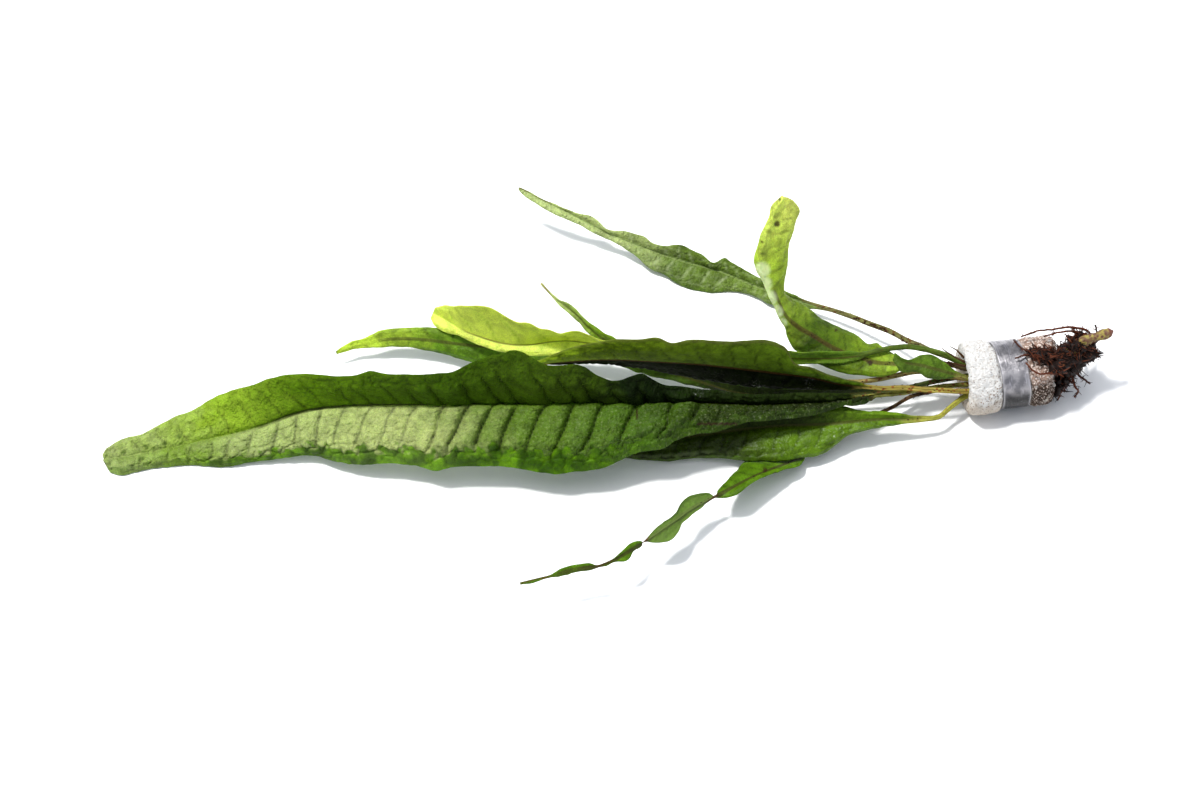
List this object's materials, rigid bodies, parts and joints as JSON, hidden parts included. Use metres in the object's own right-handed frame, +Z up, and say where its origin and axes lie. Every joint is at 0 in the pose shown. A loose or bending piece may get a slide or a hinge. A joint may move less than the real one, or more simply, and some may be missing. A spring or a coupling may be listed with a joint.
{
  "type": "loose bunch of java fern",
  "caption": "Loose bunch of java fern lying flat, strap-shaped fronds held at their stalks in a foam collar with a lead strip, roots at the other end.",
  "frame": {"origin": "middle of the flat on the underside of the lead strip, on the table", "axes": "+X from the frond tips towards the roots, +Y away from the viewer of the picture, +Z up"},
  "size_m": [0.2891, 0.1341, 0.0579],
  "materials": {
    "leaf_green": "waxy leaf green, darker in the far halves, satin",
    "leaf_yellow": "thin yellow-green leaf, lit through",
    "leaf_grey": "grey-green leaf with a dull sheen, finely wrinkled",
    "foam": "open-cell white foam with brown specks",
    "lead": "dull grey lead, scratched",
    "rhizome": "yellow-green with brown scales",
    "roots": "dark red-brown fibres"
  },
  "bodies": {
    "root": {"frond_main": "leaf_green", "frond_long": "leaf_green", "frond_lower": "leaf_green", "frond_yellow": "leaf_yellow", "frond_under": "leaf_green", "frond_trailing": "leaf_green", "frond_upright": "leaf_yellow", "frond_pointed": "leaf_green", "frond_back": "leaf_grey", "frond_young": "leaf_green", "foam_collar": "foam", "lead_strip": "lead", "rhizome": "rhizome", "root_tuft": "roots"}
  },
  "joints": []
}
